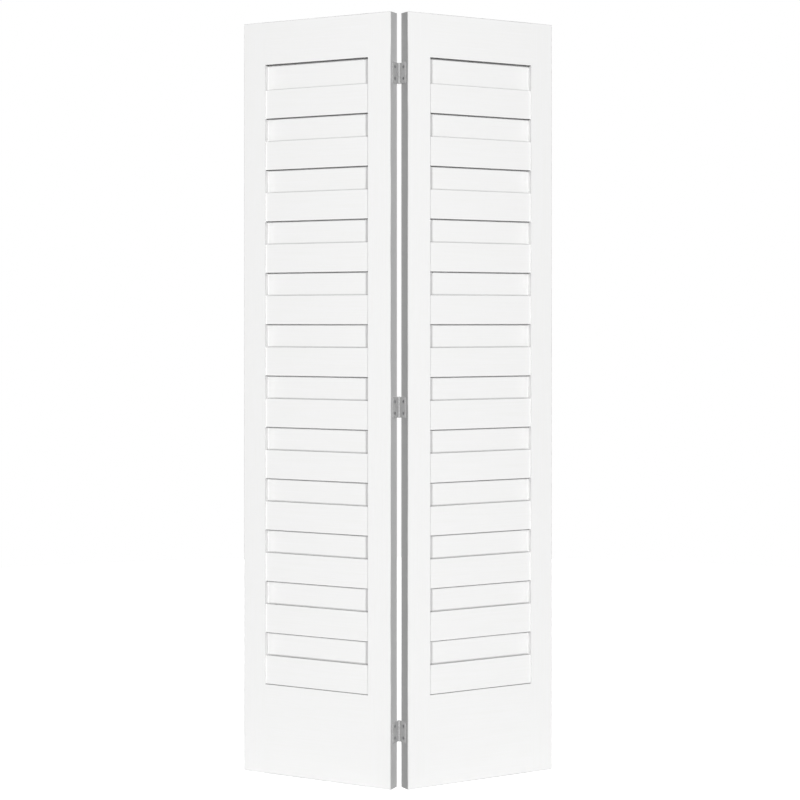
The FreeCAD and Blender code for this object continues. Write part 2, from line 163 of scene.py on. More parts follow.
def sprayedEnamel(name, grainAxis, coat, ledges=None):
    # Enamel sprayed face on over grey primer: an even white with a soft sheen and a trace of
    # grain and spray texture. Shade is painted in under lips, on ledges and in a recess's corners.
    material, tree = newMaterial(name)
    place = addNode(tree, "ShaderNodeTexCoord")
    boardInfo = addNode(tree, "ShaderNodeObjectInfo")
    stretch = [1 / enamel["grainWidth"]] * 3
    stretch[grainAxis] /= enamel["grainRun"]
    streaks = addNode(tree, "ShaderNodeMapping", values={"Scale": stretch},
                      links={"Vector": place.outputs["Object"]})
    grain = addNode(tree, "ShaderNodeTexNoise", {"noise_dimensions": "4D"},
                    {"Scale": 1.0, "Detail": 3.0, "Roughness": 0.55},
                    {"Vector": streaks.outputs["Vector"], "W": boardInfo.outputs["Random"]})
    peel = addNode(tree, "ShaderNodeTexNoise", {},
                   {"Scale": 1 / enamel["peelSize"], "Detail": 1.0, "Roughness": 0.4},
                   {"Vector": place.outputs["Object"]})
    lowGrain, highGrain = enamel["grainSpan"]
    raised = addNode(tree, "ShaderNodeMapRange", {},
                     {"From Min": lowGrain, "From Max": highGrain}, {"Value": grain.outputs["Fac"]})
    grained = addNode(tree, "ShaderNodeMix", {"data_type": "RGBA"},
                      {"A": hexToLinear(enamel[coat]), "B": hexToLinear(enamel["grainCoat"])},
                      {"Factor": raised.outputs["Result"]})
    tone = grained.outputs["Result"]
    if ledges is not None:
        # painted shade darkens the white towards the near black shade coat
        shaded = addNode(tree, "ShaderNodeMix", {"data_type": "RGBA"},
                         {"B": hexToLinear(enamel["shadeCoat"])},
                         {"A": tone, "Factor": paintedShadeMask(tree, place, ledges)})
        tone = shaded.outputs["Result"]
    low, high = enamel["roughness" if coat == "fullCoat" else "thinRoughness"]
    sheen = addNode(tree, "ShaderNodeMapRange", {},
                    {"From Min": noiseSpan[0], "From Max": noiseSpan[1],
                     "To Min": low, "To Max": high}, {"Value": peel.outputs["Fac"]})
    grainBump = addNode(tree, "ShaderNodeBump", {}, {"Distance": enamel["grainHeight"]},
                        {"Height": grain.outputs["Fac"]})
    peelBump = addNode(tree, "ShaderNodeBump", {}, {"Distance": enamel["peelHeight"]},
                       {"Height": peel.outputs["Fac"], "Normal": grainBump.outputs["Normal"]})
    paint = addNode(tree, "ShaderNodeBsdfPrincipled", {}, {"IOR": enamel["ior"]},
                    {"Base Color": tone, "Roughness": sheen.outputs["Result"],
                     "Normal": peelBump.outputs["Normal"]})
    addNode(tree, "ShaderNodeOutputMaterial", links={"Surface": paint.outputs["BSDF"]})
    return material


primer = {
    "left": ("#BEBEBE", "#C6C6C6"),         # primer, darkened as painted shade of the fold between the leaves, and where it is sanded thin
    "right": ("#A0A0A0", "#A8A8A8"),        # painted shade: darker still, this edge facing away from the stronger light
    "scratchWidth": 0.5 * mm,   # sanding lines; real 180 grit leaves 0.1 mm, coarser to show
    "scratchRun": 80,           # a line's length over its width
    "scratchDepth": 0.01 * mm,
    "ior": 1.5,
    "roughness": 0.62,
}


def sandedPrimerWithFoldShade(side):
    # Grey wood primer, sanded along the board: flat, matt, with faint lengthwise lines.
    # Its grey is darkened to paint in the shade of the fold between the leaves.
    material, tree = newMaterial(f"sanded_primer_with_painted_fold_shade_{side}")
    full, thin = primer[side]
    place = addNode(tree, "ShaderNodeTexCoord")
    across = 1 / primer["scratchWidth"]
    lines = addNode(tree, "ShaderNodeMapping",
                    values={"Scale": (across, across, across / primer["scratchRun"])},
                    links={"Vector": place.outputs["Object"]})
    scratches = addNode(tree, "ShaderNodeTexNoise", {}, {"Scale": 1.0, "Detail": 2.0},
                        {"Vector": lines.outputs["Vector"]})
    tone = addNode(tree, "ShaderNodeMix", {"data_type": "RGBA"},
                   {"A": hexToLinear(full), "B": hexToLinear(thin)},
                   {"Factor": scratches.outputs["Fac"]})
    bump = addNode(tree, "ShaderNodeBump", {}, {"Distance": primer["scratchDepth"]},
                   {"Height": scratches.outputs["Fac"]})
    coat = addNode(tree, "ShaderNodeBsdfPrincipled", {},
                   {"IOR": primer["ior"], "Roughness": primer["roughness"]},
                   {"Base Color": tone.outputs["Result"], "Normal": bump.outputs["Normal"]})
    addNode(tree, "ShaderNodeOutputMaterial", links={"Surface": coat.outputs["BSDF"]})
    return material


waveLength = 0.3                # about one band of Blender's wave texture at scale 1

endGrain = {
    "colour": "#E4E3DF",
    "pore": "#CFCDC7",          # where the coat has sunk into the pores
    "poreSize": 0.9 * mm,       # real pores are 0.1 mm, drawn coarser to show
    "ringWidth": 4.0 * mm,
    "depth": 0.03 * mm,
    "ior": 1.5,
    "roughness": 0.7,
}


def sealedEndGrain():
    # End grain that drank its thin coat: off-white, dull, with growth rings and open pores.
    material, tree = newMaterial("thin_enamel_on_end_grain")
    place = addNode(tree, "ShaderNodeTexCoord")
    rings = addNode(tree, "ShaderNodeTexWave", {"wave_type": "RINGS", "rings_direction": "Z"},
                    {"Scale": waveLength / endGrain["ringWidth"], "Distortion": 1.5, "Detail": 1.0},
                    {"Vector": place.outputs["Object"]})
    pores = addNode(tree, "ShaderNodeTexVoronoi", {}, {"Scale": 1 / endGrain["poreSize"]},
                    {"Vector": place.outputs["Object"]})
    drunk = addNode(tree, "ShaderNodeMath", {"operation": "MULTIPLY"},
                    links={0: rings.outputs["Fac"], 1: pores.outputs["Distance"]})
    tone = addNode(tree, "ShaderNodeMix", {"data_type": "RGBA"},
                   {"A": hexToLinear(endGrain["colour"]), "B": hexToLinear(endGrain["pore"])},
                   {"Factor": drunk.outputs["Value"]})
    bump = addNode(tree, "ShaderNodeBump", {"invert": True}, {"Distance": endGrain["depth"]},
                   {"Height": drunk.outputs["Value"]})
    coat = addNode(tree, "ShaderNodeBsdfPrincipled", {},
                   {"IOR": endGrain["ior"], "Roughness": endGrain["roughness"]},
                   {"Base Color": tone.outputs["Result"], "Normal": bump.outputs["Normal"]})
    addNode(tree, "ShaderNodeOutputMaterial", links={"Surface": coat.outputs["BSDF"]})
    return material


boredPine = {
    "early": "#DDBE8E",
    "late": "#B98A55",
    "ringWidth": 3.0 * mm,
    "ringDepth": 0.05 * mm,
    "ior": 1.45,
    "roughness": 0.75,
}


def bareBoredPine():
    # Bare pine inside a drilled bore: warm tan with darker late wood rings, quite matt.
    material, tree = newMaterial("bare_bored_pine")
    place = addNode(tree, "ShaderNodeTexCoord")
    rings = addNode(tree, "ShaderNodeTexWave", {"wave_type": "BANDS", "bands_direction": "X"},
                    {"Scale": waveLength / boredPine["ringWidth"], "Distortion": 2.0, "Detail": 2.0},
                    {"Vector": place.outputs["Object"]})
    tone = addNode(tree, "ShaderNodeMix", {"data_type": "RGBA"},
                   {"A": hexToLinear(boredPine["early"]), "B": hexToLinear(boredPine["late"])},
                   {"Factor": rings.outputs["Fac"]})
    bump = addNode(tree, "ShaderNodeBump", {}, {"Distance": boredPine["ringDepth"]},
                   {"Height": rings.outputs["Fac"]})
    wood = addNode(tree, "ShaderNodeBsdfPrincipled", {},
                   {"IOR": boredPine["ior"], "Roughness": boredPine["roughness"]},
                   {"Base Color": tone.outputs["Result"], "Normal": bump.outputs["Normal"]})
    addNode(tree, "ShaderNodeOutputMaterial", links={"Surface": wood.outputs["BSDF"]})
    return material


# Steel of the hinges: a streak is how far the marks are drawn out along the piece's z axis.
steelFinishes = {
    "zinc_plated_pressed_steel": {"bright": "#BCBCBC", "dull": "#ACACAC",
                                  "roughness": (0.78, 0.90), "grit": 0.5 * mm, "streak": 1},
    "zinc_plated_drawn_pin": {"bright": "#BCBCBC", "dull": "#AAAAAA",
                              "roughness": (0.34, 0.44), "grit": 0.3 * mm, "streak": 20},
    "zinc_plated_screw": {"bright": "#98989A", "dull": "#7E7E80",
                          "roughness": (0.30, 0.40), "grit": 0.4 * mm, "streak": 1},
}
plating = {
    "cloudSize": 5.0 * mm,
    "markDepth": 0.006 * mm,
}


def zincSteel(name):
    # Zinc plated steel, clouded by the plating bath: pressed plates a flat pale grey, pins
    # smoother with marks along them, screws darker and shinier.
    finish = steelFinishes[name]
    across = 1 / finish["grit"]
    low, high = finish["roughness"]
    material, tree = newMaterial(name)
    place = addNode(tree, "ShaderNodeTexCoord")
    cloud = addNode(tree, "ShaderNodeTexNoise", {}, {"Scale": 1 / plating["cloudSize"], "Detail": 3.0},
                    {"Vector": place.outputs["Object"]})
    drawn = addNode(tree, "ShaderNodeMapping",
                    values={"Scale": (across, across, across / finish["streak"])},
                    links={"Vector": place.outputs["Object"]})
    marks = addNode(tree, "ShaderNodeTexNoise", {}, {"Scale": 1.0, "Detail": 2.0},
                    {"Vector": drawn.outputs["Vector"]})
    tone = addNode(tree, "ShaderNodeMix", {"data_type": "RGBA"},
                   {"A": hexToLinear(finish["bright"]), "B": hexToLinear(finish["dull"])},
                   {"Factor": cloud.outputs["Fac"]})
    sheen = addNode(tree, "ShaderNodeMapRange", {},
                    {"From Min": noiseSpan[0], "From Max": noiseSpan[1],
                     "To Min": low, "To Max": high}, {"Value": marks.outputs["Fac"]})
    bump = addNode(tree, "ShaderNodeBump", {}, {"Distance": plating["markDepth"]},
                   {"Height": marks.outputs["Fac"]})
    metal = addNode(tree, "ShaderNodeBsdfPrincipled", {}, {"Metallic": 1.0},
                    {"Base Color": tone.outputs["Result"], "Roughness": sheen.outputs["Result"],
                     "Normal": bump.outputs["Normal"]})
    addNode(tree, "ShaderNodeOutputMaterial", links={"Surface": metal.outputs["BSDF"]})
    return material


stilePaint = sprayedEnamel("satin_enamel_on_stile", 2, "fullCoat")      # grain along z
openingWallShadePaint = sprayedEnamel("painted_shade_on_inner_edge", 2, "wallShadeAndEndCoat")
arrisShadePaint = sprayedEnamel("painted_shade_on_stile_arris", 2, "arrisShadeCoat")
edgePrimersWithFoldShade = {side: sandedPrimerWithFoldShade(side) for side in ("left", "right")}
endCoat = sealedEndGrain()
boreWood = bareBoredPine()
plateSteel = zincSteel("zinc_plated_pressed_steel")
pinSteel = zincSteel("zinc_plated_drawn_pin")
screwSteel = zincSteel("zinc_plated_screw")
print("finishes mixed")


# Each leaf has a frame on the hinge pins: x along its width, y from its back to its front.
fold = frame["joints"][0]
pinAxis = Vector((fold["pos_m"][0], fold["pos_m"][1], 0))
leafAngle = math.radians(-fold["range_deg"][0] / 2)     # a leaf's turn from the closed door
leafTurns = {"left": math.pi - leafAngle, "right": math.pi + leafAngle}
pinFrames = {side: Matrix.Translation(pinAxis) @ Matrix.Rotation(turn, 4, "Z")
             for side, turn in leafTurns.items()}
leafBodies = {"left": "pivot_leaf", "right": "leading_leaf"}


def weldedCopy(nodeName, toLocal):
    # The solid as a clean mesh in a local frame, with its flat faces merged.
    source = frame["nodes"][nodeName].data
    shape = bmesh.new()
    points = [shape.verts.new(toLocal @ v.co) for v in source.vertices]
    for polygon in source.polygons:
        shape.faces.new([points[i] for i in polygon.vertices])
    bmesh.ops.remove_doubles(shape, verts=shape.verts, dist=meshing["weldGap"])
    bmesh.ops.dissolve_limit(shape, angle_limit=math.radians(meshing["flatAngle"]),
                             verts=shape.verts, edges=shape.edges)
    bmesh.ops.recalc_face_normals(shape, faces=shape.faces)
    return shape


def lowestCorner(shape):
    return Vector([min(v.co[i] for v in shape.verts) for i in range(3)])


def highestCorner(shape):
    return Vector([max(v.co[i] for v in shape.verts) for i in range(3)])


def shadeSmooth(mesh):
    for polygon in mesh.polygons:
        polygon.use_smooth = True
    mesh.set_sharp_from_angle(angle=math.radians(meshing["crisp"]))


def easeEdges(piece, width, steps, byWeight, arrisSlot=-1):
    # Rounds the edges with a weight, or else all sharp ones. Slot -1 keeps the faces' own coat; the
    # stiles and rails give the slot of their painted arris shade.
    ease = piece.modifiers.new("easedEdges", "BEVEL")
    ease.limit_method = "WEIGHT" if byWeight else "ANGLE"
    ease.angle_limit = math.radians(meshing["plateEdge"])
    ease.width = width
    ease.segments = steps
    ease.use_clamp_overlap = not byWeight
    ease.harden_normals = True
    ease.material = arrisSlot


def hangOn(piece, side, nodeName):
    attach(piece, leafBodies[side])
    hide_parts(nodeName)


# Stiles, rails and slats

boards = {
    "outerRound": 0.45 * mm,    # softens the bevel on a stile's long outer edges
    "bevelReach": 1.1 * mm,     # how far that bevel of the solid comes in from the outer edge
    "endRound": 1.0 * mm,       # round the ends of the leaf
    "openingRound": 0.4 * mm,   # beside the opening that holds the slats
    "railRound": 0.8 * mm,      # along the rails' edges of the opening
    "slatRound": 1.2 * mm,      # along the front and back edges of a band
    "slatCorner": 0.8 * mm,     # cutter radius in a slat's inner corners
    "longEdge": 0.3,            # metres: only a board's lengthwise edges are longer
    "roundSteps": 3,
}
bores = {
    "radius": 4.75 * mm,
    "inset": 25.4 * mm,         # from the leaf's outer edge
    "slack": 0.1 * mm,          # how far the facets' corners may be off the round
    "steps": 4,                 # pieces that each facet of the solid's bore is cut into
}
stileCoats = ["face", "hingeEdge", "end", "bore", "opening", "arris"]      # in slot order
railCoats = ["face", "arris", "leafEnd"]
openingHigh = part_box("left_top_rail")[0].z
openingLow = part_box("left_slat_12")[0].z      # the lowest slat laps over the bottom rail's lip


def leafBoard(side, nodeName):
    # A board in its own frame, its lowest corner at 0, and the matrix that puts it back.
    shape = weldedCopy(nodeName, pinFrames[side].inverted())
    corner = lowestCorner(shape)
    bmesh.ops.translate(shape, verts=shape.verts, vec=-corner)
    return shape, pinFrames[side] @ Matrix.Translation(corner)


def markEdges(shape, radius, largest, wanted):
    # Gives the sharp edges that the test picks their share of the largest rounding.
    weight = shape.edges.layers.float.get("bevel_weight_edge")
    if weight is None:
        weight = shape.edges.layers.float.new("bevel_weight_edge")
    sharp = math.radians(meshing["boardEdge"])
    for edge in shape.edges:
        if len(edge.link_faces) == 2 and edge.calc_face_angle() > sharp:
            middle = (edge.verts[0].co + edge.verts[1].co) / 2
            along = edge.verts[1].co - edge.verts[0].co
            if wanted(edge, middle, along):
                edge[weight] = radius / largest


def finishBoard(shape, place, side, nodeName, materials, rounding, arrisSlot=-1):
    mesh = bpy.data.meshes.new(f"{nodeName}_painted")
    shape.to_mesh(mesh)
    shape.free()
    shadeSmooth(mesh)
    for material in materials:
        mesh.materials.append(material)
    piece = addToScene(f"{nodeName}_painted", mesh)
    piece.matrix_world = place
    easeEdges(piece, rounding, boards["roundSteps"], True, arrisSlot)
    hangOn(piece, side, nodeName)


def roundBores(shape, outerX, inward, depth):
    # Finer facets on the pivot bores, and the bore walls picked out for bare wood.
    radius, slack = bores["radius"], bores["slack"]
    centre = Vector((outerX + inward * bores["inset"], depth / 2))

    def onWall(vert):
        return abs((vert.co.xy - centre).length - radius) < slack

    rims = [e for e in shape.edges if close(e.verts[0].co.z, e.verts[1].co.z)
            and onWall(e.verts[0]) and onWall(e.verts[1])]
    bmesh.ops.subdivide_edges(shape, edges=rims, cuts=bores["steps"] - 1, use_grid_fill=True)
    for vert in shape.verts:
        offset = vert.co.xy - centre
        if radius / 2 < offset.length < radius + slack:
            vert.co.xy = centre + offset.normalized() * radius
    for face in shape.faces:
        if all(onWall(v) for v in face.verts):
            face.material_index = stileCoats.index("bore")


def makeStile(side, role):
    nodeName = f"{side}_{role}_stile"
    shape, place = leafBoard(side, nodeName)
    width, depth, height = highestCorner(shape)
    innerHigh = (side == "left") == (role == "hinge")
    innerX = width if innerHigh else 0.0
    outerX = width - innerX
    for level in (openingLow, openingHigh):
        everything = shape.verts[:] + shape.edges[:] + shape.faces[:]
        bmesh.ops.bisect_plane(shape, geom=everything, dist=0.0001 * mm,
                               plane_co=(0, 0, level), plane_no=(0, 0, 1))

    def nearOuter(middle):
        return abs(middle.x - outerX) < boards["bevelReach"]

    def atEnd(middle):
        return close(middle.z, 0) or close(middle.z, height)

    def onFace(middle):
        return close(middle.y, 0) or close(middle.y, depth)

    def inReach(middle):
        return openingLow < middle.z < openingHigh

    def upright(along):
        return close(abs(along.z), along.length)

    def outerBevel(edge, middle, along):
        return upright(along) and nearOuter(middle)

    def besideOpening(edge, middle, along):
        return upright(along) and close(middle.x, innerX) and onFace(middle) and inReach(middle)

    def endRim(edge, middle, along):
        return atEnd(middle) and (onFace(middle) or nearOuter(middle))

    largest = boards["endRound"]
    markEdges(shape, boards["outerRound"], largest, outerBevel)
    markEdges(shape, boards["openingRound"], largest, besideOpening)
    markEdges(shape, boards["endRound"], largest, endRim)
    for face in shape.faces:
        middle = face.calc_center_median()
        onOuter = close(middle.x, outerX)
        slanting = 0.3 < abs(face.normal.x) < 0.9
        sideways = abs(face.normal.x) > 0.9
        backBevel = role == "hinge" and face.normal.y < 0
        # the hinge edge takes the grey primer, darkened as painted shade of the fold
        if role == "hinge" and onOuter:
            face.material_index = stileCoats.index("hingeEdge")
        elif slanting and nearOuter(middle):
            face.material_index = stileCoats.index("hingeEdge" if backBevel else "arris")
        # the walls beside the opening take a grey that paints in their shade
        elif sideways and inReach(middle) and not onOuter:
            face.material_index = stileCoats.index("opening")
        elif atEnd(middle):
            face.material_index = stileCoats.index("end")
    if role == "outer":
        roundBores(shape, outerX, 1 if innerX > outerX else -1, depth)
    coats = {"face": stilePaint, "hingeEdge": edgePrimersWithFoldShade[side], "end": endCoat,
             "bore": boreWood, "opening": openingWallShadePaint, "arris": arrisShadePaint}
    finishBoard(shape, place, side, nodeName,
                [coats[part] for part in stileCoats], largest, stileCoats.index("arris"))


def makeRail(side, role):
    nodeName = f"{side}_{role}_rail"
    shape, place = leafBoard(side, nodeName)
    outerLevel = highestCorner(shape).z if role == "top" else 0.0

    def outside(edge, middle, along):
        return along.length > boards["longEdge"] and close(middle.z, outerLevel)

    def besideOpening(edge, middle, along):
        lengthwise = along.length > boards["longEdge"]
        return lengthwise and edge.is_convex and not close(middle.z, outerLevel)

    largest = boards["railRound"]
    markEdges(shape, boards["endRound"], largest, outside)
    markEdges(shape, boards["railRound"], largest, besideOpening)
    for face in shape.faces:
        if close(face.calc_center_median().z, outerLevel):
            face.material_index = railCoats.index("leafEnd")
    coats = {"face": railPaint, "arris": railArrisShadePaint, "leafEnd": railEndPaint}
    finishBoard(shape, place, side, nodeName,
                [coats[part] for part in railCoats], largest, railCoats.index("arris"))


def makeSlat(side, number):
    nodeName = f"{side}_slat_{number:02d}"
    shape, place = leafBoard(side, nodeName)
    depth = highestCorner(shape).y

    def bandEdge(edge, middle, along):
        onBand = close(middle.y, 0) or close(middle.y, depth)
        return along.length > boards["longEdge"] and onBand

    def innerCorner(edge, middle, along):
        return along.length > boards["longEdge"] and not edge.is_convex

    largest = boards["slatRound"]
    markEdges(shape, boards["slatRound"], largest, bandEdge)
    markEdges(shape, boards["slatCorner"], largest, innerCorner)
    finishBoard(shape, place, side, nodeName, [slatPaint], largest)


slat = {
    "frontLedge": (19.0 * mm, 77.0 * mm),   # depth of the floor above it, and its level
    "backLedge": (10.0 * mm, 6.4 * mm),
    "walls": (9.5 * mm, 323.5 * mm),        # where the stiles' walls stand along it
}
slatCount = sum(name.startswith("left_slat_") for name in frame["nodes"])
# the slats take painted shade under their lips, on their ledges and in the corners beside the stiles
slatPaint = sprayedEnamel("satin_enamel_with_painted_shade_on_slat", 0, "fullCoat",
                          (slat["frontLedge"], slat["backLedge"]))
railPaint = sprayedEnamel("satin_enamel_with_painted_shade_on_rail", 0, "fullCoat", ())    # painted shade under a lip and on a ledge, with no recess corners
railArrisShadePaint = sprayedEnamel("painted_shade_on_rail_arris", 0, "arrisShadeCoat", ())
railEndPaint = sprayedEnamel("thin_enamel_on_door_top", 0, "wallShadeAndEndCoat")
for side in ("left", "right"):
    for role in ("hinge", "outer"):
        makeStile(side, role)
    for role in ("top", "bottom"):
        makeRail(side, role)
    for number in range(1, slatCount + 1):
        makeSlat(side, number)
print("leaves built")


# Hinges: plates rolled round a pin, held by countersunk cross head screws

hinge = {
    "screwLine": 20.2 * mm,     # pin axis to the line of screws
    "screwSpread": 15.0 * mm,   # screws above and below the hinge's middle
    "holeRadius": 2.2 * mm,
    "sinkRadius": 4.25 * mm,
    "knuckleGap": 0.3 * mm,
    "seam": 0.15 * mm,          # where the roll's end stops against the plate
    "cornerRound": 2.5 * mm,    # free corners of a plate
    "cornerSteps": 8,
    "easedEdge": 0.2 * mm,
    "easedSteps": 2,
    "arcSteps": 56,             # along the eye, the roll and a countersink
    "pinDome": 0.4 * mm,
    "domeSteps": 6,
    "cutSpare": 0.2 * mm,       # how far a countersink's cutter stands out of the plate
}
screw = {
    "headRadius": 4.1 * mm,
    "headRim": 0.12 * mm,
    "shankRadius": 2.05 * mm,
    "coreRadius": 1.45 * mm,
    "threadPitch": 1.8 * mm,
    "threadStart": 5.0 * mm,
    "threadShare": 0.5,         # of a turn's pitch that the ridge takes, the rest is bare core
    "ringsPerTurn": 8,
    "tipStart": 15.5 * mm,
    "tipRadius": 0.05 * mm,
    "length": 19.0 * mm,
    "crossReach": 2.5 * mm,     # half the cross recess, from arm tip to middle
    "crossWidth": 1.15 * mm,
    "crossDepth": 2.0 * mm,
    "crossTop": (1.04, 1.1),    # shares of reach and width just above the head's face
    "crossFoot": (0.45, 0.6),   # and at the foot of the recess
    "crossSpare": 0.1 * mm,     # how far the cutter stands out of the head
    "turnSteps": 40,
    "firstTurn": 11,            # degrees that the first screw of a leaf stopped at
    "nextTurn": 37,             # and how much further each of the others
}


def meshPiece(name, points, faces):
    mesh = bpy.data.meshes.new(name)
    mesh.from_pydata(points, [], faces)
    return addToScene(name, mesh)


def prism(name, outline, low, high):
    # A closed outline in the xy plane, drawn out along z.
    count = len(outline)
    points = [(x, y, z) for z in (low, high) for x, y in outline]
    ends = [tuple(reversed(range(count))), tuple(range(count, 2 * count))]
    sides = [(i, (i + 1) % count, count + (i + 1) % count, count + i) for i in range(count)]
    return meshPiece(name, points, ends + sides)


def turned(name, rings, steps):
    # Rings of radius against height round the z axis. A radius may be a function of the angle.
    points, faces = [], []
    for height, radius in rings:
        for step in range(steps):
            angle = 2 * math.pi * step / steps
            reach = radius(angle) if callable(radius) else radius
            points.append((reach * math.cos(angle), reach * math.sin(angle), height))
    for ring in range(len(rings) - 1):
        for step in range(steps):
            a, b = ring * steps + step, ring * steps + (step + 1) % steps
            faces.append((a, b, b + steps, a + steps))
    last = (len(rings) - 1) * steps
    faces += [tuple(reversed(range(steps))), tuple(range(last, last + steps))]
    return meshPiece(name, points, faces)


def carve(piece, cutter):
    cut = piece.modifiers.new("cut", "BOOLEAN")
    cut.operation = "DIFFERENCE"
    cut.solver = "EXACT"
    cut.object = cutter
    bpy.context.view_layer.update()
    graph = bpy.context.evaluated_depsgraph_get()
    carved = bpy.data.meshes.new_from_object(piece.evaluated_get(graph))
    piece.modifiers.clear()
    piece.data = carved
    bpy.data.objects.remove(cutter)


def arc(radius, start, end, steps):
    angles = [start + (end - start) * i / steps for i in range(steps + 1)]
    return [(radius * math.cos(a), radius * math.sin(a)) for a in angles]


def rolledOutline(eye, roll, inner, outer, freeEnd):
    # Section of a plate whose strip is rolled once round the pin and stops at its own face.
    lip = inner - hinge["seam"]
    eyeStart, eyeEnd = math.acos(inner / eye), math.acos(lip / eye) - 2 * math.pi
    rollStart, rollEnd = math.acos(lip / roll), math.acos(outer / roll) + 2 * math.pi
    bore = arc(eye, eyeStart, eyeEnd, hinge["arcSteps"])
    back = arc(roll, rollStart, rollEnd, hinge["arcSteps"])
    outline = [(inner, freeEnd)] + bore + back + [(outer, freeEnd)]
    return outline[::-1]


def roundFreeCorners(piece, freeEnd):
    shape = bmesh.new()
    shape.from_mesh(piece.data)
    bmesh.ops.recalc_face_normals(shape, faces=shape.faces)
    corners = [e for e in shape.edges if close(e.verts[0].co.y, freeEnd)
               and close(e.verts[1].co.y, freeEnd) and close(e.verts[0].co.z, e.verts[1].co.z)]
    bmesh.ops.bevel(shape, geom=corners, offset=hinge["cornerRound"],
                    segments=hinge["cornerSteps"], profile=0.5, affect="EDGES")
    shape.to_mesh(piece.data)
    shape.free()


def makePlate(side, place):
    nodeName = f"{place}_hinge_{side}_plate"
    solid = weldedCopy(nodeName, pinFrames[side].inverted())
    low, high = lowestCorner(solid), highestCorner(solid)
    freeXs = sorted(abs(v.co.x) for v in solid.verts if close(v.co.y, high.y))
    solid.free()
    inner, outer = freeXs[0], freeXs[-1]        # the plate's two faces, away from the pin
    height, roll, freeEnd = high.z - low.z, -low.y, high.y
    eye = roll - (outer - inner)
    piece = prism(f"{nodeName}_rolled", rolledOutline(eye, roll, inner, outer, freeEnd), 0, height)
    roundFreeCorners(piece, freeEnd)

    knuckle, halfGap = height / 3, hinge["knuckleGap"] / 2
    clear = roll + 2 * hinge["knuckleGap"]
    square = [(-clear, -clear), (clear, -clear), (clear, clear), (-clear, clear)]
    if side == "left":
        notches = [(knuckle - halfGap, 2 * knuckle + halfGap)]
    else:
        notches = [(-halfGap, knuckle + halfGap), (2 * knuckle - halfGap, height + halfGap)]
    for start, end in notches:
        carve(piece, prism("notch", square, start, end))

    slope = (hinge["sinkRadius"] - hinge["holeRadius"]) / (outer - inner)
    spare = hinge["cutSpare"]
    for sign in (-1, 1):
        rings = [(-spare, hinge["sinkRadius"] + slope * spare),
                 (outer - inner + spare, hinge["holeRadius"] - slope * spare)]
        sink = turned("countersink", rings, hinge["arcSteps"])
        sink.matrix_world = (Matrix.Translation((inner, hinge["screwLine"],
                                                 height / 2 + sign * hinge["screwSpread"]))
                             @ Matrix.Rotation(math.pi / 2, 4, "Y"))
        carve(piece, sink)

    stand = Matrix.Translation((0, 0, low.z))
    if side == "right":
        stand = Matrix.Translation((0, 0, high.z)) @ Matrix.Rotation(math.pi, 4, "Y")
    piece.matrix_world = pinFrames[side] @ stand
    shadeSmooth(piece.data)
    piece.data.materials.append(plateSteel)
    easeEdges(piece, hinge["easedEdge"], hinge["easedSteps"], False)
    hangOn(piece, side, nodeName)


def makePin(place):
    nodeName = f"{place}_hinge_pin"
    low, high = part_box(nodeName)
    radius, dome, steps = (high.x - low.x) / 2, hinge["pinDome"], hinge["domeSteps"]
    turns = [i / steps * math.pi / 2 for i in range(steps, -1, -1)]
    foot = [(dome * (1 - math.sin(a)), radius - dome * (1 - math.cos(a))) for a in turns]
    rings = foot + [(high.z - low.z - h, r) for h, r in reversed(foot)]
    piece = turned(f"{nodeName}_drawn", rings, hinge["arcSteps"])
    piece.location = (pinAxis.x, pinAxis.y, low.z)
    shadeSmooth(piece.data)
    piece.data.materials.append(pinSteel)
    hangOn(piece, "left", nodeName)


def threadRadius(height, core, ridge):
    # The radius at each angle of one height: the core, with a ridge where the thread passes.
    def radius(angle):
        phase = (height / screw["threadPitch"] - angle / (2 * math.pi)) % 1
        offCrest = abs(phase - 0.5) / (screw["threadShare"] / 2)
        return core + ridge * max(0.0, 1 - offCrest)
    return radius


def makeScrew():
    # One screw down the z axis: the head's face at 0, the point at its length.
    head, shank = screw["headRadius"], screw["shankRadius"]
    rings = [(0.0, head - screw["headRim"]), (screw["headRim"], head),
             (screw["headRim"] + head - shank, shank), (screw["threadStart"], shank)]
    step = screw["threadPitch"] / screw["ringsPerTurn"]
    count = int((screw["length"] - screw["threadStart"]) / step)
    for i in range(1, count + 1):
        height = screw["threadStart"] + i * step
        taper = min(1.0, (screw["length"] - height) / (screw["length"] - screw["tipStart"]))
        core = max(screw["tipRadius"], screw["coreRadius"] * taper)
        rings.append((height, threadRadius(height, core, (shank - screw["coreRadius"]) * taper)))
    piece = turned("wood_screw", rings, screw["turnSteps"])
    reach, half = screw["crossReach"], screw["crossWidth"] / 2
    arm = [(-reach, -half), (reach, -half), (reach, half), (-reach, half)]
    ends = ((screw["crossTop"], -screw["crossSpare"]), (screw["crossFoot"], screw["crossDepth"]))
    points = [(long * x, wide * y, z) for (long, wide), z in ends for x, y in arm]
    faces = [(0, 1, 2, 3), (7, 6, 5, 4), (0, 4, 5, 1), (1, 5, 6, 2), (2, 6, 7, 3), (3, 7, 4, 0)]
    for quarter in (0, 1):
        blade = meshPiece("driver_blade", points, faces)
        blade.rotation_euler.z = quarter * math.pi / 2
        carve(piece, blade)
    return piece


